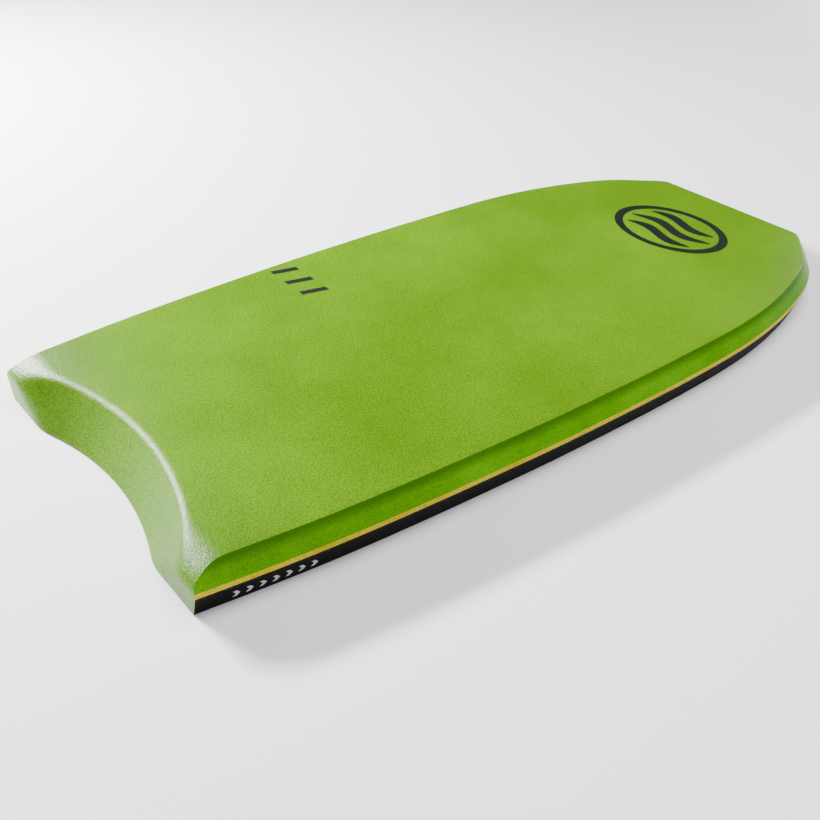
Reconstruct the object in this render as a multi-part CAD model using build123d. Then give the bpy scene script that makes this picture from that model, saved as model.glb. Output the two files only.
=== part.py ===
from build123d import *
import math
import os

os.makedirs("parts", exist_ok=True)

# Bodyboard. +X runs from the tail to the nose, +Y to the rider's left, +Z up from the slick.
# The origin is the middle of the board's box, on the plane the board lies on. Lengths in mm.

# Overall size
LENGTH = 1067.0
THICKNESS = 52.5
NOSE_X = LENGTH / 2
TAIL_X = -LENGTH / 2

# Plan of the widest line: distance from the tail, half width
SIDE_STATIONS = [
    (0.0, 233.2),
    (165.0, 252.3),
    (386.0, 263.9),
    (530.0, 266.0),
    (650.0, 264.4),
    (770.0, 257.0),
    (865.0, 240.0),
    (945.0, 214.5),
    (993.0, 190.0),
    (1036.4, 153.6),
    (1050.0, 141.8),
]
TAIL_FLARE = 8.0
NOSE_SWEEP = 41.0

# Rail section, from the slick up to the deck
WIDEST_Z = 26.2
PINLINE_Z = 32.2
UNDERCUT = 8.8
CHINE_INSET = 16.4
CHINE_INSET_NOSE_SIDE = 12.7
CHINE_INSET_NOSE = 17.5
CHINE_TAPER_FROM = 650.0
CHINE_TAPER_TO = 830.0
RIDGE_RADIUS = 8.0
RIDGE_STEPS = 3
OUTER_RAIL = 4.0
INNER_RAIL = 5.0

# Laminated sheets
DECK_SKIN = 4.0
SLICK = 1.6
SLICK_FOAM = 3.2
GLUE = 0.1

# Nose lift of the slick
LIFT_FROM_X = 112.0
NOSE_LIFT = 12.0

# Tail: a shallow crescent with a big rounded roll up to the deck
CRESCENT_DEPTH = 26.6
CRESCENT_RADIUS = 383.0
CRESCENT_CORNER = 80.0
ROLL_START_Z = 29.0
ROLL_LENGTH = 42.0
ROLL_SMALL_RADIUS = 14.0
ROLL_BIG_RADIUS = 60.0

# Steep scooped face inside the crescent: how far forward it leans for each mm of height
SCOOP_LEAN = 0.72

# Stringer in the middle of the core
STRINGER_OD = 13.0
STRINGER_ID = 10.4
STRINGER_BORE = 13.4
STRINGER_Z = 27.0
STRINGER_REAR_X = -430.0
STRINGER_FRONT_X = 450.0
PLUG_FLANGE = 3.0
PLUG_SPIGOT = 14.0
PLUG_SPIGOT_DIAMETER = 10.2

# Nose bumper joints and helper sizes for the cutting blocks
NOSE_JOINT_Y = 80.0
REACH = 700.0
SPARE = 4.0

CORE_INSET = OUTER_RAIL + INNER_RAIL + 2 * GLUE
CHINE_TOP_Z = THICKNESS - DECK_SKIN


def chine_inset(distance):
    """How far the deck ridge lies inside the widest line, at a distance from the tail."""
    share = (distance - CHINE_TAPER_FROM) / (CHINE_TAPER_TO - CHINE_TAPER_FROM)
    share = min(max(share, 0.0), 1.0)
    return CHINE_INSET + share * (CHINE_INSET_NOSE_SIDE - CHINE_INSET)


def side_points(inset, chine_share):
    """Left side of the plan, moved in by an inset plus a share of the chine."""
    points = []
    last = len(SIDE_STATIONS) - 1
    for i, (distance, half_width) in enumerate(SIDE_STATIONS):
        before = SIDE_STATIONS[max(i - 1, 0)]
        after = SIDE_STATIONS[min(i + 1, last)]
        slope = math.atan2(before[1] - after[1], after[0] - before[0])
        if i == 0:
            slope = -math.radians(TAIL_FLARE)
        if i == last:
            slope = math.radians(NOSE_SWEEP)
        depth = inset + chine_share * chine_inset(distance)
        x = TAIL_X + distance - depth * math.sin(slope)
        y = half_width - depth * math.cos(slope)
        points.append((x, y))
    return points


def outline(inset, chine_share, z):
    """Closed plan of the board at one height."""
    left = side_points(inset, chine_share)
    tail_x, tail_y = left[0]
    end_x, end_y = left[-1]
    sweep = math.radians(NOSE_SWEEP)
    nose_x = NOSE_X - inset - chine_share * CHINE_INSET_NOSE
    radius = (nose_x - end_x) / (1 - math.sin(sweep))
    corner_y = end_y - radius * math.cos(sweep)
    half_turn = (math.pi / 2 - sweep) / 2
    mid_x = nose_x - radius * (1 - math.cos(half_turn))
    mid_y = corner_y + radius * math.sin(half_turn)
    flare = math.radians(TAIL_FLARE)
    start = (math.cos(flare), math.sin(flare))
    finish = (math.cos(sweep), -math.sin(sweep))
    side = Spline(left, tangents=[start, finish]).edge()
    corner = ThreePointArc((end_x, end_y), (mid_x, mid_y), (nose_x, corner_y)).edge()
    tail = Line((tail_x, -tail_y), (tail_x, tail_y)).edge()
    nose = Line((nose_x, corner_y), (nose_x, -corner_y)).edge()
    other_side = mirror(side, about=Plane.XZ).edge()
    other_corner = mirror(corner, about=Plane.XZ).edge()
    plan = make_face(Wire([tail, side, corner, nose, other_corner, other_side]))
    return Pos(0, 0, z) * plan


def whole(inset):
    """Full board profile moved in by an inset, before the tail and the slick are cut."""
    turn = math.atan2(THICKNESS - PINLINE_Z, CHINE_INSET)
    tangent = RIDGE_RADIUS * math.tan(turn / 2)
    rail_low = UNDERCUT * (1 + SPARE / WIDEST_Z)
    plans = [
        outline(inset + rail_low, 0, -SPARE),
        outline(inset, 0, WIDEST_Z),
        outline(inset, 0, PINLINE_Z),
    ]
    for i in range(RIDGE_STEPS + 1):
        angle = turn * (1 - i / RIDGE_STEPS)
        z = THICKNESS - RIDGE_RADIUS * (1 - math.cos(angle))
        plans.append(outline(inset + tangent - RIDGE_RADIUS * math.sin(angle), 1, z))
    return loft(plans, ruled=True)


def layer(low, high):
    """Level block between two heights."""
    return Pos(0, 0, (low + high) / 2) * Box(2 * REACH, 2 * REACH, high - low)


def below_slick(rise):
    """Block under the slick's lifted curve, raised by a sheet thickness."""
    run = NOSE_X - LIFT_FROM_X
    radius = (run**2 + NOSE_LIFT**2) / (2 * NOSE_LIFT)
    far_x = REACH
    far_z = radius - math.sqrt(radius**2 - (far_x - LIFT_FROM_X) ** 2)
    mid_x = (LIFT_FROM_X + far_x) / 2
    mid_z = radius - math.sqrt(radius**2 - (mid_x - LIFT_FROM_X) ** 2)
    edges = [
        Line((-REACH, rise), (LIFT_FROM_X, rise)),
        ThreePointArc((LIFT_FROM_X, rise), (mid_x, mid_z + rise), (far_x, far_z + rise)),
        Line((far_x, far_z + rise), (far_x, -2 * SPARE)),
        Line((far_x, -2 * SPARE), (-REACH, -2 * SPARE)),
        Line((-REACH, -2 * SPARE), (-REACH, rise)),
    ]
    face = Plane.XZ * make_face(Wire([edge.edge() for edge in edges]))
    return extrude(face, amount=REACH, both=True)


def tail_path():
    """Plan of the tail's bottom edge: straight tips and a soft crescent."""
    centre_x = CRESCENT_DEPTH - CRESCENT_RADIUS
    reach = CRESCENT_RADIUS + CRESCENT_CORNER
    corner_y = math.sqrt(reach**2 - (CRESCENT_CORNER - centre_x) ** 2)
    turn = math.atan2(corner_y, CRESCENT_CORNER - centre_x)
    meet_x = centre_x + CRESCENT_RADIUS * math.cos(turn)
    meet_y = CRESCENT_RADIUS * math.sin(turn)
    half_x = CRESCENT_CORNER * (1 - math.cos(turn / 2))
    half_y = corner_y - CRESCENT_CORNER * math.sin(turn / 2)
    edges = [
        Line((0, -REACH / 2), (0, -corner_y)),
        ThreePointArc((0, -corner_y), (half_x, -half_y), (meet_x, -meet_y)),
        ThreePointArc((meet_x, -meet_y), (CRESCENT_DEPTH, 0), (meet_x, meet_y)),
        ThreePointArc((meet_x, meet_y), (half_x, half_y), (0, corner_y)),
        Line((0, corner_y), (0, REACH / 2)),
    ]
    return Pos(TAIL_X, 0, 0) * Wire([edge.edge() for edge in edges])


def behind_tail(depth):
    """Space behind the rolled tail, reaching into the board by a skin depth."""
    top = THICKNESS - depth
    back = -CRESCENT_DEPTH - 2 * SPARE
    low = -2 * SPARE
    high = THICKNESS + 2 * SPARE
    small_x = ROLL_SMALL_RADIUS
    big_z = THICKNESS - ROLL_BIG_RADIUS
    lean = math.atan2(ROLL_START_Z - big_z, ROLL_LENGTH - small_x)
    small = ROLL_SMALL_RADIUS - depth
    big = ROLL_BIG_RADIUS - depth
    join = (small_x - small * math.cos(lean), ROLL_START_Z + small * math.sin(lean))
    half = lean / 2
    small_mid = (small_x - small * math.cos(half), ROLL_START_Z + small * math.sin(half))
    steep = (lean + math.pi / 2) / 2
    big_mid = (ROLL_LENGTH - big * math.cos(steep), big_z + big * math.sin(steep))
    edges = [
        Line((back, low), (depth, low)),
        Line((depth, low), (depth, ROLL_START_Z)),
        ThreePointArc((depth, ROLL_START_Z), small_mid, join),
        ThreePointArc(join, big_mid, (ROLL_LENGTH, top)),
        Line((ROLL_LENGTH, top), (ROLL_LENGTH, high)),
        Line((ROLL_LENGTH, high), (back, high)),
        Line((back, high), (back, low)),
    ]
    section = make_face(Wire([edge.edge() for edge in edges]))
    start = Plane(origin=(TAIL_X, -REACH / 2, 0), x_dir=(1, 0, 0), z_dir=(0, -1, 0))
    return sweep(start * section, path=tail_path())


def scoop(depth):
    """Space behind the leaning face inside the crescent, reaching in by a skin depth."""
    low = -2 * SPARE
    high = THICKNESS + 2 * SPARE
    middle = TAIL_X + CRESCENT_DEPTH - CRESCENT_RADIUS
    reach_in = depth * math.hypot(1, SCOOP_LEAN)
    low_radius = CRESCENT_RADIUS + SCOOP_LEAN * (low - SLICK) + reach_in
    high_radius = CRESCENT_RADIUS + SCOOP_LEAN * (high - SLICK) + reach_in
    return Pos(middle, 0, (low + high) / 2) * Cone(low_radius, high_radius, high - low)


def nose_window():
    """Space that holds the nose bumper, between its two joints."""
    return Pos(NOSE_X, 0, 0) * Box(REACH / 2, 2 * NOSE_JOINT_Y, 4 * THICKNESS)


def left_window():
    """Space left of the nose bumper's joint."""
    centre_y = NOSE_JOINT_Y + GLUE + REACH / 2
    return Pos(0, centre_y, 0) * Box(2 * REACH, REACH, 4 * THICKNESS)


def half_space(side):
    """Everything on one side of the centre line."""
    return Pos(0, side * REACH / 2, 0) * Box(2 * REACH, REACH, 4 * THICKNESS)


def deck_skin():
    """Textured foam sheet over the deck that rolls down over the tail to the slick."""
    hollow = layer(-SPARE, CHINE_TOP_Z) - behind_tail(DECK_SKIN) - scoop(DECK_SKIN)
    top = whole(0) & layer(PINLINE_Z, THICKNESS) & half_space(1)
    apron = whole(CORE_INSET) & layer(0, PINLINE_Z) & half_space(1)
    top = top - hollow - behind_tail(0) - scoop(0)
    apron = apron - hollow - below_slick(SLICK + GLUE) - behind_tail(0) - scoop(0)
    half = top + apron
    return half + mirror(half, about=Plane.XZ)


def sides_and_nose(outside, inside, skin, name):
    """One rail layer as a left strip, its mirrored right strip and a nose bumper."""
    nose = (outside & nose_window()) - inside - below_slick(SLICK + GLUE)
    left = (outside & left_window()) - inside - below_slick(SLICK + GLUE) - behind_tail(skin)
    return {
        name + "_left": left,
        name + "_right": mirror(left, about=Plane.XZ),
        name + "_nose": nose,
    }


def chine():
    """Smooth green foam strip between the pinline and the deck skin."""
    outside = whole(0) & layer(PINLINE_Z, CHINE_TOP_Z - GLUE)
    return sides_and_nose(outside, whole(CORE_INSET - GLUE), DECK_SKIN + GLUE, "chine")


def outer_rail():
    """Black foam strip on the undercut wall."""
    outside = whole(0) & layer(0, WIDEST_Z)
    return sides_and_nose(outside, whole(OUTER_RAIL), 0, "outer_rail")


def inner_rail():
    """Yellow foam strip behind the outer rail, with a lip that shows as the pinline."""
    leg = whole(OUTER_RAIL + GLUE) & layer(0, WIDEST_Z + GLUE)
    lip = whole(0) & layer(WIDEST_Z + GLUE, PINLINE_Z - GLUE)
    return sides_and_nose(leg + lip, whole(CORE_INSET - GLUE), 0, "inner_rail")


def bottom_slick():
    """Hard smooth sheet that rides on the water."""
    sheet = whole(0) & below_slick(SLICK)
    return sheet - below_slick(0) - behind_tail(0)


def slick_foam():
    """Thin foam sheet bonded to the back of the slick."""
    sheet = whole(CORE_INSET) & below_slick(SLICK + GLUE + SLICK_FOAM)
    sheet = sheet - below_slick(SLICK + GLUE) - behind_tail(DECK_SKIN + GLUE)
    return sheet - scoop(DECK_SKIN + GLUE)


def core_left():
    """Left half of the foam core, with half of the stringer bore in its flat face."""
    half = Pos(0, (REACH + GLUE) / 2, 0) * Box(2 * REACH, REACH, 4 * THICKNESS)
    block = whole(CORE_INSET) & layer(0, CHINE_TOP_Z - GLUE) & half
    block = block - below_slick(SLICK + 2 * GLUE + SLICK_FOAM)
    block = block - behind_tail(DECK_SKIN + GLUE) - scoop(DECK_SKIN + GLUE)
    return block - bore(STRINGER_BORE)


def bore(diameter):
    """Room for the stringer and the flanges of its plugs."""
    length = STRINGER_FRONT_X - STRINGER_REAR_X + 2 * (PLUG_FLANGE + GLUE)
    centre = (STRINGER_FRONT_X + STRINGER_REAR_X) / 2
    return Pos(centre, 0, STRINGER_Z) * Rot(0, 90, 0) * Cylinder(diameter / 2, length)


def stringer_tube():
    """Glass fibre tube that stiffens the board from end to end."""
    length = STRINGER_FRONT_X - STRINGER_REAR_X
    centre = (STRINGER_FRONT_X + STRINGER_REAR_X) / 2
    wall = Cylinder(STRINGER_OD / 2, length) - Cylinder(STRINGER_ID / 2, length)
    return Pos(centre, 0, STRINGER_Z) * Rot(0, 90, 0) * wall


def stringer_plug(end_x, outward):
    """Flanged plug that closes one end of the stringer tube."""
    flange = Pos(0, 0, (PLUG_FLANGE + GLUE) / 2 + GLUE / 2) * Cylinder(STRINGER_OD / 2, PLUG_FLANGE)
    spigot = Pos(0, 0, GLUE - PLUG_SPIGOT / 2) * Cylinder(PLUG_SPIGOT_DIAMETER / 2, PLUG_SPIGOT)
    plug = flange + spigot
    tip = plug.faces().sort_by(Axis.Z)[0].edges()
    plug = chamfer(tip, 1.0)
    return Pos(end_x, 0, STRINGER_Z) * Rot(0, 90 * outward, 0) * plug


def build():
    """Every piece of the board by its node name."""
    half_core = core_left()
    parts = {
        "deck_skin": deck_skin(),
        "core_left": half_core,
        "core_right": mirror(half_core, about=Plane.XZ),
        "stringer_tube": stringer_tube(),
        "stringer_plug_front": stringer_plug(STRINGER_FRONT_X, 1),
        "stringer_plug_rear": stringer_plug(STRINGER_REAR_X, -1),
        "slick_foam": slick_foam(),
        "bottom_slick": bottom_slick(),
    }
    parts.update(chine())
    parts.update(inner_rail())
    parts.update(outer_rail())
    return parts


for name, solid in build().items():
    print(name, len(solid.solids()), round(solid.volume / 1000, 1), "cm3", flush=True)
    export_step(solid, f"parts/{name}.step")
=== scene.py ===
import bpy
import math
from mathutils import Matrix, Vector


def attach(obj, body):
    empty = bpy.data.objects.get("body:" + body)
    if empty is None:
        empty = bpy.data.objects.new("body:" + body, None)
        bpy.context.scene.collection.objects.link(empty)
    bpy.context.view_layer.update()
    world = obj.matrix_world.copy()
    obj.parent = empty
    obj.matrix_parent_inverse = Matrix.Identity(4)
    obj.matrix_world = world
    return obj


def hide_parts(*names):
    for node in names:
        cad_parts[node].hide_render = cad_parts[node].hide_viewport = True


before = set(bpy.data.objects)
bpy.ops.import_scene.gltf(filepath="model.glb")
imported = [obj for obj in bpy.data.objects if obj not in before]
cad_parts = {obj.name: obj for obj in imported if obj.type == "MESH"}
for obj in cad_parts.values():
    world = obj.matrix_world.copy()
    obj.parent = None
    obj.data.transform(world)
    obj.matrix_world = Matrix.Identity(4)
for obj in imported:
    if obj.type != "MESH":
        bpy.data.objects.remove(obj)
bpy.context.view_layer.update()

# Board sizes in millimetres, the same as the laminated frame. +X is the nose.
MM = 0.001
TAIL_X, NOSE_X = -533.5, 533.5
SIDE_STATIONS = (
    (0, 233.2), (165, 252.3), (386, 263.9), (530, 266.0), (650, 264.4),
    (770, 257.0), (865, 240.0), (945, 214.5), (993, 190.0), (1036.4, 153.6),
    (1050.0, 141.8),
)
TAIL_FLARE, NOSE_SWEEP = math.radians(8), math.radians(41)
DECK_Z, PINLINE_Z, WIDEST_Z, SLICK_Z = 52.2, 32.2, 26.2, 1.6
UNDERCUT = 8.8
CHINE_SIDE, CHINE_NOSE_SIDE, CHINE_NOSE = 16.4, 12.7, 17.5
CHINE_TAPER_START, CHINE_TAPER_RUN = 650, 180
LIFT_X, NOSE_LIFT = 112.0, 12.0
CRESCENT_DEPTH, CRESCENT_RADIUS, CRESCENT_CORNER = 26.6, 383.0, 80.0
ROLL_Z, ROLL_LENGTH, ROLL_SMALL, ROLL_BIG = 29.0, 42.0, 14.0, 60.0
SCOOP_LEAN, SCOOP_ROUND, SCOOP_BLEND, SCOOP_FADE = 0.72, 12.0, 7.0, 10.0
NOSE_JOINT, NOSE_PIECE_X = 80.0, 480.0
RIDGE_ROUND, RIDGE_SEGMENTS = 7.0, 6
# How far forward the crescent's bend still shows in the rows of the deck.
BLEND_LENGTH = 260.0
# The tail corner's rounding: how far it reaches forward, inwards and below the pinline's top.
TAIL_CORNER_X, TAIL_CORNER_Y, TAIL_CORNER_Z = 6.0, 18.0, 1.0
# How far sideways a face has to look to be pinline or rail there.
LOOKS_OUT, LOOKS_SIDEWAYS = 0.2, 0.75
SKIN, STRIP, PRINT = 3.5, 4.0, 0.2

# Rows and columns of the sheets.
WALL_ROWS = (9, 17)
SMALL_ROLL_ROWS, BIG_ROLL_ROWS, DECK_ROWS, CORNER_ROWS = 6, 14, 60, 10
CHINE_ROWS, HALF_COLUMNS = 3, 20
SLOPE_STEP = 2.0
MERGE = 0.02
SMOOTH_ANGLE = math.radians(32)

DECK, CHINE, PINLINE, RAIL = range(4)
ZONE_NAMES = ("deck", "chine", "pinline", "rail")


def side_half_width(distance):
    """Half width of the widest line at a distance from the tail."""
    stations = SIDE_STATIONS
    last = len(stations) - 1
    i = max(k for k in range(last) if stations[k][0] <= distance or k == 0)
    slopes = []
    for k in (i, i + 1):
        if k == 0:
            slopes.append(math.tan(TAIL_FLARE))
        elif k == last:
            slopes.append(-math.tan(NOSE_SWEEP))
        else:
            before, after = stations[k - 1], stations[k + 1]
            slopes.append((after[1] - before[1]) / (after[0] - before[0]))
    (x0, w0), (x1, w1) = stations[i], stations[i + 1]
    run = x1 - x0
    t = (distance - x0) / run
    smooth = t * t * (3 - 2 * t)
    return (
        w0 * (1 - smooth) + w1 * smooth
        + run * slopes[0] * t * (1 - t) ** 2 - run * slopes[1] * t * t * (1 - t)
    )


def chine_inset(distance):
    """How far the deck ridge lies inside the widest line."""
    share = min(max((distance - CHINE_TAPER_START) / CHINE_TAPER_RUN, 0), 1)
    return CHINE_SIDE + share * (CHINE_NOSE_SIDE - CHINE_SIDE)


def nose_corner(inset, share):
    """Centre x, centre y and radius of the nose corner's arc."""
    end_x, end_w = TAIL_X + SIDE_STATIONS[-1][0], SIDE_STATIONS[-1][1]
    depth = inset + share * CHINE_NOSE_SIDE
    end_x -= depth * math.sin(NOSE_SWEEP)
    end_w -= depth * math.cos(NOSE_SWEEP)
    nose_x = NOSE_X - inset - share * CHINE_NOSE
    radius = (nose_x - end_x) / (1 - math.sin(NOSE_SWEEP))
    return nose_x - radius, end_w - radius * math.cos(NOSE_SWEEP), radius


def side_point(distance, inset, share):
    """Plan point on the left side, moved in by an inset plus a share of the chine."""
    low = max(distance - SLOPE_STEP, 0)
    high = min(distance + SLOPE_STEP, SIDE_STATIONS[-1][0])
    slope = math.atan2(side_half_width(low) - side_half_width(high), high - low)
    depth = inset + share * chine_inset(distance)
    return (
        TAIL_X + distance - depth * math.sin(slope),
        side_half_width(distance) - depth * math.cos(slope),
    )


def corner_point(angle, inset, share):
    """Plan point on the left nose corner; the angle is the wall's facing from +Y to +X."""
    x, y, radius = nose_corner(inset, share)
    return x + radius * math.sin(angle), y + radius * math.cos(angle)


def slick_height(x):
    """Height of the slick's underside, which lifts towards the nose."""
    run = NOSE_X - LIFT_X
    radius = (run**2 + NOSE_LIFT**2) / (2 * NOSE_LIFT)
    return radius - math.sqrt(radius**2 - max(x - LIFT_X, 0) ** 2)


def crescent(y):
    """Tail edge at a distance from the centre line: how far forward it is, and its facing."""
    centre_x = CRESCENT_DEPTH - CRESCENT_RADIUS
    reach = CRESCENT_RADIUS + CRESCENT_CORNER
    corner_y = math.sqrt(reach**2 - (CRESCENT_CORNER - centre_x) ** 2)
    meet_y = CRESCENT_RADIUS * corner_y / reach
    side, y = (1 if y >= 0 else -1), abs(y)
    if y >= corner_y:
        return 0.0, 0.0
    if y <= meet_y:
        turn = math.asin(y / CRESCENT_RADIUS)
        return centre_x + CRESCENT_RADIUS * math.cos(turn), side * turn
    turn = math.asin((corner_y - y) / CRESCENT_CORNER)
    return CRESCENT_CORNER * (1 - math.cos(turn)), side * turn


def roll_profile():
    """The tail's section from the slick up to the deck as (forward, height)."""
    big_z = DECK_Z - ROLL_BIG
    lean = math.atan2(ROLL_Z - big_z, ROLL_LENGTH - ROLL_SMALL)
    points = [(0, z) for z in (SLICK_Z, *WALL_ROWS, WIDEST_Z)]
    for k in range(SMALL_ROLL_ROWS):
        a = lean * k / SMALL_ROLL_ROWS
        points.append((ROLL_SMALL * (1 - math.cos(a)), ROLL_Z + ROLL_SMALL * math.sin(a)))
    for k in range(BIG_ROLL_ROWS + 1):
        a = lean + (math.pi / 2 - lean) * k / BIG_ROLL_ROWS
        points.append((ROLL_LENGTH - ROLL_BIG * math.cos(a), big_z + ROLL_BIG * math.sin(a)))
    joint = next(k for k, p in enumerate(points) if p[1] > PINLINE_Z)
    before, after = points[joint - 1], points[joint]
    share = (PINLINE_Z - before[1]) / (after[1] - before[1])
    points.insert(joint, (before[0] + share * (after[0] - before[0]), PINLINE_Z))
    return points


def scoop_forward(z):
    """How far forward the crescent's steep face is at a height, rounded at the deck."""
    turn = math.atan(1 / SCOOP_LEAN)
    corner = SCOOP_LEAN * (DECK_Z - SLICK_Z)
    tangent = SCOOP_ROUND * math.tan(turn / 2)
    arc_z = DECK_Z - SCOOP_ROUND
    if z <= arc_z + SCOOP_ROUND * math.cos(turn):
        return SCOOP_LEAN * (z - SLICK_Z)
    rise = min(z - arc_z, SCOOP_ROUND)
    return corner + tangent - math.sqrt(SCOOP_ROUND**2 - rise**2)


def scooped(x, y, z):
    """Place on the tail pressed in by the crescent's steep face, softly blended with it."""
    radius = CRESCENT_RADIUS + scoop_forward(z)
    middle = TAIL_X + CRESCENT_DEPTH - CRESCENT_RADIUS
    face_x = middle + math.sqrt(max(radius**2 - y**2, 0))
    reach = max(SCOOP_BLEND * min((z - SLICK_Z) / SCOOP_FADE, 1), 0.001)
    near = max(reach - abs(face_x - x), 0) / reach
    return max(face_x, x) + near * near * reach / 4


def wall_inset(z):
    """Inset of the side wall and its share of the chine at a height."""
    if z <= WIDEST_Z:
        return UNDERCUT * (1 - z / WIDEST_Z), 0.0
    if z <= PINLINE_Z:
        return 0.0, 0.0
    return 0.0, (z - PINLINE_Z) / (DECK_Z - PINLINE_Z)


def board_rows():
    """Rows of the deck from the tail's lower edge to the nose.

    Each row is (kind, place, height): kind roll, side or corner.
    """
    rows = [("roll", forward, z) for forward, z in roll_profile()]
    run = SIDE_STATIONS[-1][0] - ROLL_LENGTH
    for k in range(1, DECK_ROWS + 1):
        rows.append(("side", ROLL_LENGTH + run * k / DECK_ROWS, DECK_Z))
    turn = math.pi / 2 - NOSE_SWEEP
    for k in range(1, CORNER_ROWS + 1):
        rows.append(("corner", NOSE_SWEEP + turn * k / CORNER_ROWS, DECK_Z))
    return rows


def row_edge(row, inset, share):
    """Left plan point of a row, at an inset and a share of the chine."""
    kind, place, _ = row
    if kind == "corner":
        return corner_point(place, inset, share)
    return side_point(place, inset, share)


def across():
    """Places across the board from the right, -1, to the left, 1, with the nose joints."""
    joint = NOSE_JOINT / nose_corner(0, 1)[1]
    half = [k / HALF_COLUMNS for k in range(HALF_COLUMNS + 1)]
    half = [joint if abs(t - joint) < 0.5 / HALF_COLUMNS else t for t in half]
    return [-t for t in reversed(half[1:])] + half


def edit(obj):
    """Selects an object alone and opens its mesh for editing."""
    bpy.ops.object.select_all(action="DESELECT")
    obj.select_set(True)
    bpy.context.view_layer.objects.active = obj
    bpy.ops.object.mode_set(mode="EDIT")


def leave_edit():
    """Closes the mesh that is open for editing."""
    bpy.ops.object.mode_set(mode="OBJECT")


def sheet_grid(name, rows, columns, place):
    """A grid whose vertices are moved to place(row, column), in millimetres."""
    bpy.ops.object.select_all(action="DESELECT")
    bpy.ops.mesh.primitive_grid_add(
        x_subdivisions=columns - 1, y_subdivisions=rows - 1, size=2
    )
    obj = bpy.context.object
    obj.name = name
    obj.data.name = name
    for vertex in obj.data.vertices:
        column = round((vertex.co.x + 1) / 2 * (columns - 1))
        row = round((vertex.co.y + 1) / 2 * (rows - 1))
        vertex.co = Vector(place(row, column)) * MM
    return obj


def bend_left(edge_x):
    """Share of the crescent's bend that is left in a row of the deck, from 1 to 0."""
    fade = max(0.0, 1 - (edge_x - TAIL_X - ROLL_LENGTH) / BLEND_LENGTH)
    return fade * fade * (3 - 2 * fade)


def deck_sheet(rows, spans):
    """Grid over the deck, the rolled tail and its upright wall."""

    def place(r, c):
        row, t = rows[r], spans[c]
        kind, forward, z = row
        edge_x, edge_y = row_edge(row, *wall_inset(z))
        y = t * edge_y
        bend, facing = crescent(y)
        if kind == "roll":
            x = TAIL_X + bend + forward * math.cos(facing)
            y += forward * math.sin(facing)
            return (scooped(x, y, z) if z > SLICK_Z else x), y, z
        fade = bend_left(edge_x)
        shift = bend - ROLL_LENGTH * (1 - math.cos(facing))
        y += ROLL_LENGTH * math.sin(facing) * fade
        ridge_x = TAIL_X + ROLL_LENGTH + shift
        shift += scooped(ridge_x, y, z) - ridge_x
        return edge_x + shift * fade, y, z

    return sheet_grid("deck_sheet", len(rows), len(spans), place)


def rail_ring(rows, spans):
    """Places round the rail from the left tail corner to the right one, as (row, side)."""
    first = next(k for k, row in enumerate(rows) if row[2] > PINLINE_Z - 0.01)
    left = [(row, 1) for row in rows[first:]]
    front = [(rows[-1], t) for t in reversed(spans[1:-1])]
    return left + front + [(row, -t) for row, t in reversed(left)]


def rail_point(entry, z, at_tail):
    """Point on the side wall at a height."""
    row, t = entry
    x, y = row_edge(row, *wall_inset(z))
    if row[0] == "roll":
        x = TAIL_X + row[1]
    if at_tail:
        x = TAIL_X + next(f for f, height in roll_profile() if abs(height - z) < 0.01)
        y = side_point(0 if z <= WIDEST_Z else x - TAIL_X, *wall_inset(z))[1]
    return x, y * t, z


def chine_sheet(rows, ring):
    """Strip from the deck ridge down to the pinline."""

    def place(r, c):
        entry = ring[r]
        z = PINLINE_Z + (entry[0][2] - PINLINE_Z) * c / CHINE_ROWS
        return rail_point(entry, z, False)

    return sheet_grid("chine_sheet", len(ring), CHINE_ROWS + 1, place)


def wall_sheet(name, ring, heights, lifted):
    """Upright strip of the rail between two heights, with a row at each height."""

    def place(r, c):
        z = heights[c]
        at_tail = r in (0, len(ring) - 1)
        if not lifted or at_tail:
            return rail_point(ring[r], z, at_tail)
        lift = slick_height(rail_point(ring[r], WIDEST_Z, False)[0])
        share = (WIDEST_Z - z) / (WIDEST_Z - SLICK_Z)
        return rail_point(ring[r], z + lift * share, False)

    return sheet_grid(name, len(ring), len(heights), place)


def all_faces_to(obj, zone):
    """Puts every face of an object in one zone."""
    for face in obj.data.polygons:
        face.material_index = zone


def board_hull():
    """Deck, chine, pinline and rail joined in one skin, with the ridge rounded."""
    rows, spans = board_rows(), across()
    ring = rail_ring(rows, spans)
    heights = [z for _, z in roll_profile()]
    low = [z for z in heights if z < WIDEST_Z + 0.01]
    middle = [z for z in heights if WIDEST_Z - 0.01 < z < PINLINE_Z + 0.01]
    sheets = {
        DECK: deck_sheet(rows, spans),
        CHINE: chine_sheet(rows, ring),
        PINLINE: wall_sheet("pinline_sheet", ring, middle, False),
        RAIL: wall_sheet("rail_sheet", ring, low, True),
    }
    marks = [bpy.data.materials.new(name) for name in ZONE_NAMES]
    for zone, sheet in sheets.items():
        for mark in marks:
            sheet.data.materials.append(mark)
        all_faces_to(sheet, zone)
    bpy.ops.object.select_all(action="DESELECT")
    for sheet in sheets.values():
        sheet.select_set(True)
    hull = sheets[DECK]
    bpy.context.view_layer.objects.active = hull
    bpy.ops.object.join()
    edit(hull)
    bpy.ops.mesh.select_all(action="SELECT")
    bpy.ops.mesh.remove_doubles(threshold=MERGE * MM)
    bpy.ops.mesh.normals_make_consistent(inside=False)
    bpy.ops.mesh.select_all(action="DESELECT")
    leave_edit()
    round_ridge(hull)
    return hull


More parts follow.
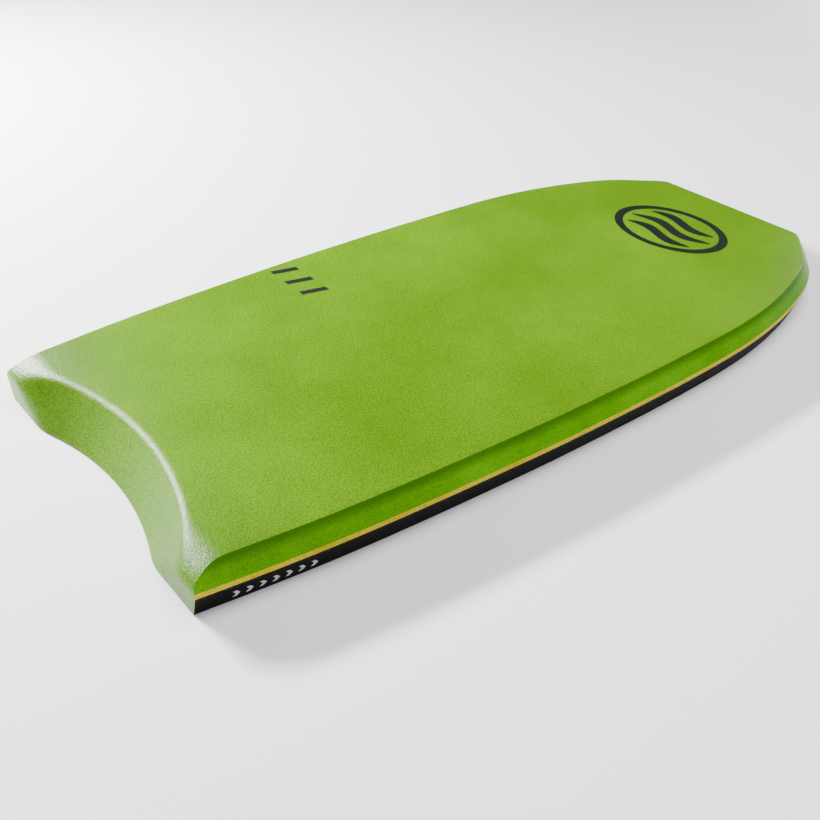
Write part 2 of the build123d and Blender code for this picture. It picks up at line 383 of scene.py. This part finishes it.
def round_ridge(hull):
    """Rounds the line where the deck sheet meets the rails and paints the rounding."""
    edit(hull)
    bpy.ops.mesh.select_mode(type="EDGE")
    leave_edit()
    beside = {}
    for face in hull.data.polygons:
        for key in face.edge_keys:
            beside.setdefault(key, []).append(face.material_index)
    for edge in hull.data.edges:
        zones = beside[edge.key]
        edge.select = len(zones) == 2 and DECK in zones and zones[0] != zones[1]
    edit(hull)
    bpy.ops.mesh.bevel(
        offset=RIDGE_ROUND * MM, segments=RIDGE_SEGMENTS, affect="EDGES", material=DECK,
        clamp_overlap=True, loop_slide=True,
    )
    leave_edit()
    for face in hull.data.polygons:
        x, y, z = (v / MM for v in face.center)
        outward = abs(face.normal.y)
        at_corner = x - TAIL_X < TAIL_CORNER_X and abs(y) > SIDE_STATIONS[0][1] - TAIL_CORNER_Y
        if at_corner and z < PINLINE_Z - TAIL_CORNER_Z and outward > LOOKS_OUT:
            beside_rail = outward > LOOKS_SIDEWAYS and z < WIDEST_Z
            face.material_index = RAIL if beside_rail else PINLINE


def separate_zones(hull):
    """The hull's zones as objects of their own, keyed by zone."""
    edit(hull)
    bpy.ops.mesh.select_all(action="SELECT")
    bpy.ops.mesh.separate(type="MATERIAL")
    leave_edit()
    zones = {}
    for obj in bpy.context.selected_objects:
        face = obj.data.polygons[0]
        zones[ZONE_NAMES.index(obj.data.materials[face.material_index].name)] = obj
    return zones


def cut_off(obj, name, chosen):
    """Splits the faces that pass a test into an object of their own."""
    edit(obj)
    bpy.ops.mesh.select_mode(type="FACE")
    bpy.ops.mesh.select_all(action="DESELECT")
    leave_edit()
    for face in obj.data.polygons:
        face.select = chosen(face.center / MM)
    edit(obj)
    bpy.ops.mesh.separate(type="SELECTED")
    leave_edit()
    piece = next(o for o in bpy.context.selected_objects if o != obj)
    piece.name = name
    return piece


def finish_piece(obj, name, material, nodes, thickness, level_foot=False):
    """Gives a skin its thickness inwards, its finish and the frame nodes it stands for.

    A level foot keeps the inside of a leaning skin no lower than its outside.
    """
    obj.name = name
    obj.data.name = name
    obj.data.materials.clear()
    obj.data.materials.append(material)
    all_faces_to(obj, 0)
    edit(obj)
    bpy.ops.mesh.select_all(action="SELECT")
    bpy.ops.mesh.remove_doubles(threshold=MERGE * MM)
    leave_edit()
    lowest = min(vertex.co.z for vertex in obj.data.vertices)
    solidify = obj.modifiers.new("thickness", "SOLIDIFY")
    solidify.thickness = thickness * MM
    solidify.offset = -1
    bpy.ops.object.modifier_apply(modifier=solidify.name)
    if level_foot:
        for vertex in obj.data.vertices:
            vertex.co.z = max(vertex.co.z, lowest)
    bpy.ops.object.select_all(action="DESELECT")
    obj.select_set(True)
    bpy.context.view_layer.objects.active = obj
    bpy.ops.object.shade_smooth_by_angle(angle=SMOOTH_ANGLE)
    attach(obj, "root")
    if nodes:
        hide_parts(*nodes)
    return obj


def slick_sheet():
    """The hard bottom sheet, flat behind and lifted at the nose."""
    rows, spans = board_rows(), across()
    rows = [("roll", 0, 0)] + [row for row in rows if row[0] != "roll"]

    def place(r, c):
        row, t = rows[r], spans[c]
        lift = slick_height(row_edge(row, 0, 0)[0])
        edge_x, edge_y = row_edge(row, *wall_inset(lift))
        y = t * edge_y
        if row[0] == "roll":
            return TAIL_X + crescent(y)[0], y, 0
        return edge_x + crescent(y)[0] * bend_left(edge_x), y, slick_height(edge_x)

    return sheet_grid("slick_sheet", len(rows), len(spans), place)


def linear(hex_colour):
    """sRGB hex to linear RGBA."""
    channels = []
    for i in (0, 2, 4):
        v = int(hex_colour[i:i + 2], 16) / 255
        channels.append(v / 12.92 if v <= 0.04045 else ((v + 0.055) / 1.055) ** 2.4)
    return (*channels, 1.0)


def add_node(tree, kind, settings=None, links=None):
    """Adds a node, sets its properties, colour stops and inputs, and links sockets into it."""
    node = tree.nodes.new(kind)
    for key, value in (settings or {}).items():
        if key == "stops":
            elements = node.color_ramp.elements
            for element, stop in zip(elements, (value[0], value[-1])):
                element.position, element.color = stop
            for position, colour in value[1:-1]:
                elements.new(position).color = colour
        elif isinstance(key, str) and hasattr(node, key):
            setattr(node, key, value)
        else:
            node.inputs[key].default_value = value
    for key, socket in (links or {}).items():
        tree.links.new(socket, node.inputs[key])
    return node


# Where the three mottling colours lie in the noise.
MOTTLE_STOPS = (0.3, 0.5, 0.72)
# Painted shade in the grain's hollows and painted highlight on its tops: how much they darken
# and lighten the colour, and where.
GRAIN_SHADE_STOPS = tuple((at, (v, v, v, 1)) for at, v in ((0.4, 0.6), (0.5, 1.0), (0.62, 1.3)))
SCUFF_LOW, SCUFF_HIGH = 0.52, 0.62
POLYMER_IOR = 1.45


def new_material(name):
    """An empty finish: its material, tree, shader and coordinates on the object."""
    material = bpy.data.materials.new(name)
    material.use_nodes = True
    tree = material.node_tree
    shader = tree.nodes["Principled BSDF"]
    coords = add_node(tree, "ShaderNodeTexCoord")
    return material, tree, shader, coords.outputs["Object"]


def board_finish(name, colours, roughness, gloss, grain_mm, grain_depth, mottle_mm):
    """Surface with a fine grain, as bump and as painted shade and highlight, over soft
    mottling of three colours.
    """
    material, tree, shader, place = new_material(name)
    stops = tuple(zip(MOTTLE_STOPS, (linear(colour) for colour in colours.split())))
    mottle = add_node(
        tree, "ShaderNodeTexNoise",
        {"Scale": 1000 / mottle_mm, "Detail": 4.0, "Roughness": 0.6}, {"Vector": place},
    )
    colour = add_node(
        tree, "ShaderNodeValToRGB", {"stops": stops}, {"Fac": mottle.outputs["Fac"]}
    )
    cells = add_node(
        tree, "ShaderNodeTexNoise",
        {"Scale": 1000 / grain_mm, "Detail": 3.0, "Roughness": 0.7}, {"Vector": place},
    )
    bump = add_node(
        tree, "ShaderNodeBump",
        {"Strength": 1.0, "Distance": grain_depth * MM}, {"Height": cells.outputs["Fac"]},
    )
    # Painted shade in the grain's hollows and painted highlight on its tops, from the same
    # noise as the bump.
    grain_shade = add_node(
        tree, "ShaderNodeValToRGB", {"stops": GRAIN_SHADE_STOPS}, {"Fac": cells.outputs["Fac"]}
    )
    mix = add_node(
        tree, "ShaderNodeMix",
        {"data_type": "RGBA", "blend_type": "MULTIPLY", 0: 1.0},
        {6: colour.outputs["Color"], 7: grain_shade.outputs["Color"]},
    )
    tree.links.new(mix.outputs[2], shader.inputs["Base Color"])
    tree.links.new(bump.outputs["Normal"], shader.inputs["Normal"])
    shader.inputs["Roughness"].default_value = roughness
    shader.inputs["IOR"].default_value = POLYMER_IOR
    shader.inputs["Specular IOR Level"].default_value = gloss
    return material


def tint_by_height(material, low, high, most, tint, scuff_mm=None):
    """Mixes a tint into a foam's colour between two heights: smooth for painted shade, or
    broken up into scuffs of wear.
    """
    tree = material.node_tree
    shader = tree.nodes["Principled BSDF"]
    colour = shader.inputs["Base Color"].links[0].from_socket
    place = tree.nodes["Texture Coordinate"].outputs["Object"]
    height = add_node(tree, "ShaderNodeSeparateXYZ", links={"Vector": place})
    amount = add_node(
        tree, "ShaderNodeMapRange",
        {"From Min": low * MM, "From Max": high * MM, "To Max": most},
        {"Value": height.outputs["Z"]},
    ).outputs["Result"]
    if scuff_mm:
        scuffs = add_node(
            tree, "ShaderNodeTexNoise",
            {"Scale": 1000 / scuff_mm, "Detail": 5.0, "Roughness": 0.8}, {"Vector": place},
        )
        patches = add_node(
            tree, "ShaderNodeMapRange",
            {"From Min": SCUFF_LOW, "From Max": SCUFF_HIGH}, {"Value": scuffs.outputs["Fac"]},
        )
        amount = add_node(
            tree, "ShaderNodeMath", {"operation": "MULTIPLY"},
            {0: amount, 1: patches.outputs["Result"]},
        ).outputs["Value"]
    mix = add_node(
        tree, "ShaderNodeMix", {"data_type": "RGBA", 7: linear(tint)}, {0: amount, 6: colour}
    )
    tree.links.new(mix.outputs[2], shader.inputs["Base Color"])


# Polyethylene deck foam, heat textured: satin lime green with a fine pebble.
deck_foam = board_finish(
    "heat_textured_deck_foam", "4a7200 527e00 5c8a00", 0.29, 0.18, 2.0, 0.5, 190
)
# The same foam cut smooth for the chine: a deeper green, with painted shade making it darker
# along the ridge.
chine_foam = board_finish(
    "smooth_cut_chine_foam", "4c8a00 569800 62a604", 0.4, 0.08, 1.0, 0.06, 90
)
# Painted shade: the chine's upper part, from 42 to 49 mm high, darkened towards the ridge.
tint_by_height(chine_foam, 42, 49, 0.75, "2c5c00")
# Yellow rail foam, cut smooth: matt and even.
pinline_foam = board_finish(
    "smooth_cut_pinline_foam", "c8b000 d8c000 e4cc00", 0.5, 0.1, 1.2, 0.08, 60
)
# Black rail foam, hot wire cut: nearly matt, with grey scuffs along its upper edge.
rail_foam = board_finish("hot_cut_rail_foam", "040304 060507 0a080b", 0.7, 0.1, 1.1, 0.1, 50)
tint_by_height(rail_foam, 21, 26, 0.55, "6a666c", scuff_mm=3.5)
# Ionomer slick, extruded smooth: glossy black.
slick_film = board_finish(
    "extruded_slick_sheet", "0a090c 0d0c10 121015", 0.2, 0.5, 4.0, 0.02, 200
)
# Black backing foam behind the slick, laminated: matt.
backing_foam = board_finish(
    "laminated_backing_foam", "101012 151517 1b1b1e", 0.7, 0.3, 1.2, 0.1, 60
)
# White bead foam of the core, fused in a mould: round beads 3 mm across.
core_foam = board_finish(
    "moulded_bead_core_foam", "cfcfc8 dcdcd6 e6e6e2", 0.7, 0.3, 3.0, 0.4, 60
)
# Pultruded glass fibre of the stringer: smooth, dark and a little glossy.
stringer_fibre = board_finish(
    "pultruded_stringer", "141414 1a1a1a 222222", 0.3, 0.5, 0.8, 0.02, 40
)
# Moulded plastic of the stringer's plugs: plain satin grey.
stringer_plug = board_finish(
    "moulded_plug_plastic", "8a8a86 949490 9e9e9a", 0.5, 0.5, 0.8, 0.02, 40
)
# Screen printed inks, which take on the pebble of the foam under them.
black_ink = board_finish(
    "screen_printed_black_ink", "0a0f0c 0d130f 111813", 0.45, 0.4, 1.7, 0.25, 60
)
white_ink = board_finish(
    "screen_printed_white_ink", "b4b2b6 c4c2c6 d2d0d4", 0.5, 0.3, 1.4, 0.15, 12
)


def print_patch(name, rows, columns, place, ink):
    """A thin printed mark laid on a surface."""
    patch = sheet_grid(name, rows, columns, place)
    edit(patch)
    bpy.ops.mesh.select_all(action="SELECT")
    bpy.ops.mesh.normals_make_consistent(inside=False)
    leave_edit()
    return finish_piece(patch, name, ink, [], PRINT)


def deck_emblem():
    """Oval ring with three wave stripes, printed near the nose."""
    centre_x, half_x, half_y, ring_share = 380, 66, 92, 0.15
    ring_steps, wave_steps = 72, 40
    wave_offset, crest_height, crest_length, crest_bends = 27, 7, 70, 1.2
    middle_half, outer_half = 70, 58
    tip_width, belly_width = 3, 13

    def on_ring(r, c):
        turn = 2 * math.pi * r / ring_steps
        size = 1 - ring_share * c
        x = centre_x + half_x * size * math.cos(turn)
        return x, half_y * size * math.sin(turn), DECK_Z + PRINT

    name = "deck_emblem_ring"
    print_patch(name, ring_steps + 1, 2, on_ring, black_ink)
    waves = ((-wave_offset, outer_half), (0, middle_half), (wave_offset, outer_half))
    for k, (offset, half_length) in enumerate(waves):

        def on_wave(r, c):
            y = -half_length + 2 * half_length * r / wave_steps
            taper = 1 - abs(y / half_length) ** 3
            crest = crest_height * math.sin(y / crest_length * math.pi * crest_bends)
            width = tip_width + belly_width * taper
            return centre_x + offset + crest + (c - 0.5) * width, y, DECK_Z + PRINT

        name = f"deck_emblem_wave_{k + 1}"
        print_patch(name, wave_steps + 1, 2, on_wave, black_ink)


def deck_bars():
    """Three slanted bars printed on the deck."""
    start_x, start_y, length, width, slant, spacing, steps = -165, 236, 36, 10, 9, 36, 3
    for k in range(3):

        def on_bar(r, c):
            x = start_x + length * r / steps
            y = start_y - spacing * k - width * c - slant * r / steps
            return x, y, DECK_Z + PRINT

        print_patch(f"deck_bar_{k + 1}", steps + 1, 2, on_bar, black_ink)


def rail_chevrons():
    """Row of small chevrons printed on the right rail near the tail."""
    foot_z, height, steps = 6.5, 9, 4
    start, spacing, width, point = 40, 13.5, 4.2, 3.5
    for k in range(7):

        def on_rail(r, c):
            z = foot_z + height * r / steps
            lean = point * abs(r / steps - 0.5) * 2
            distance = start + spacing * k + width * c - lean
            x, y = side_point(distance, *wall_inset(z))
            return x, -y - PRINT, z

        print_patch(f"rail_chevron_{k + 1}", steps + 1, 2, on_rail, white_ink)


zones = separate_zones(board_hull())
finish_piece(
    zones[DECK], "deck_skin_foam", deck_foam, ["deck_skin"], SKIN, level_foot=True
)
for zone, key, material, slot, thickness in (
    (CHINE, "chine", chine_foam, "chine_foam", STRIP),
    (PINLINE, "inner_rail", pinline_foam, "pinline_foam", STRIP),
    (RAIL, "outer_rail", rail_foam, "rail_foam", SKIN),
):
    left = zones[zone]
    nose = cut_off(
        left, key + "_nose_foam", lambda p: p.x > NOSE_PIECE_X and abs(p.y) < NOSE_JOINT
    )
    right = cut_off(left, key + "_right_foam", lambda p: p.y < 0)
    for piece, part in ((nose, "nose"), (right, "right"), (left, "left")):
        node = f"{key}_{part}"
        finish_piece(piece, node + "_foam", material, [node], thickness)
finish_piece(
    slick_sheet(), "bottom_slick_sheet", slick_film, ["bottom_slick"], SLICK_Z
)

deck_emblem()
deck_bars()
rail_chevrons()

INSIDE = {
    "core_left": core_foam, "core_right": core_foam, "slick_foam": backing_foam,
    "stringer_tube": stringer_fibre,
    "stringer_plug_front": stringer_plug, "stringer_plug_rear": stringer_plug,
}
for node, material in INSIDE.items():
    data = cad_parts[node].data
    data.materials.clear()
    data.materials.append(material)


def studio_floor():
    """Plain pale floor under the board."""
    bpy.ops.object.select_all(action="DESELECT")
    bpy.ops.mesh.primitive_plane_add(size=FLOOR_SIZE, location=(0, 0, -FLOOR_GAP))
    floor = bpy.context.object
    floor.name = "studio_floor"
    # White paper sweep: matt, and lit a little through from behind.
    material = bpy.data.materials.new("white_paper_sweep")
    material.use_nodes = True
    shader = material.node_tree.nodes["Principled BSDF"]
    shader.inputs["Base Color"].default_value = linear("fdfdfd")
    shader.inputs["Roughness"].default_value = 0.9
    shader.inputs["Emission Color"].default_value = (1, 1, 1, 1)
    shader.inputs["Emission Strength"].default_value = FLOOR_GLOW
    floor.data.materials.append(material)


def softbox(name, place, aim, width, height, power):
    """Rectangular studio light, aimed at a point."""
    data = bpy.data.lights.new(name, "AREA")
    data.shape = "RECTANGLE"
    data.size, data.size_y, data.energy = width, height, power
    light = bpy.data.objects.new(name, data)
    bpy.context.collection.objects.link(light)
    light.location = place
    aim_line = Vector(aim) - Vector(place)
    light.rotation_euler = aim_line.to_track_quat("-Z", "Y").to_euler()


def studio_air():
    """Even white light from all round."""
    world = bpy.data.worlds.new("studio")
    bpy.context.scene.world = world
    world.use_nodes = True
    background = world.node_tree.nodes["Background"]
    background.inputs["Color"].default_value = (1, 1, 1, 1)
    background.inputs["Strength"].default_value = AIR_STRENGTH


def camera():
    """Three-quarter view from behind the right tail corner."""
    data = bpy.data.cameras.new("camera")
    data.sensor_width = CAMERA_SENSOR
    data.lens = CAMERA_LENS
    data.clip_start = CAMERA_CLIP
    cam = bpy.data.objects.new("camera", data)
    bpy.context.collection.objects.link(cam)
    level = math.cos(CAMERA_PITCH)
    ahead = Vector((
        level * math.cos(CAMERA_YAW), level * math.sin(CAMERA_YAW), math.sin(CAMERA_PITCH)
    ))
    right = ahead.cross(Vector((0, 0, 1))).normalized()
    up = right.cross(ahead)
    c, s = math.cos(CAMERA_ROLL), math.sin(CAMERA_ROLL)
    turn = Matrix((right * c + up * s, up * c - right * s, -ahead)).transposed().to_4x4()
    cam.matrix_world = Matrix.Translation(CAMERA_PLACE) @ turn
    bpy.context.scene.camera = cam


# Studio sizes and places in metres; the camera's lens and sensor in millimetres.
FLOOR_SIZE, FLOOR_GAP, FLOOR_GLOW = 12, 0.0005, 0.12
AIR_STRENGTH = 0.12
BOARD_MIDDLE, BOARD_TAIL, BOARD_NOSE = (0.1, 0, 0), (-0.5, 0, 0), (0.45, -0.1, 0)
CAMERA_PLACE = (-0.8003, -0.8857, 0.7046)
CAMERA_YAW, CAMERA_PITCH, CAMERA_ROLL = (math.radians(a) for a in (51.889, -34.586, 0.509))
CAMERA_SENSOR, CAMERA_LENS, CAMERA_CLIP = 36, 45.82, 0.05

studio_floor()
softbox("overhead_softbox", (0.5, -0.5, 2.4), BOARD_MIDDLE, 2.2, 2.0, 82)
softbox("key_softbox", (-0.88, 2.0, 1.0), BOARD_TAIL, 0.8, 0.16, 285)
softbox("nose_softbox", (2.4, 0.5, 0.1), BOARD_NOSE, 0.2, 0.15, 24)
studio_air()
camera()
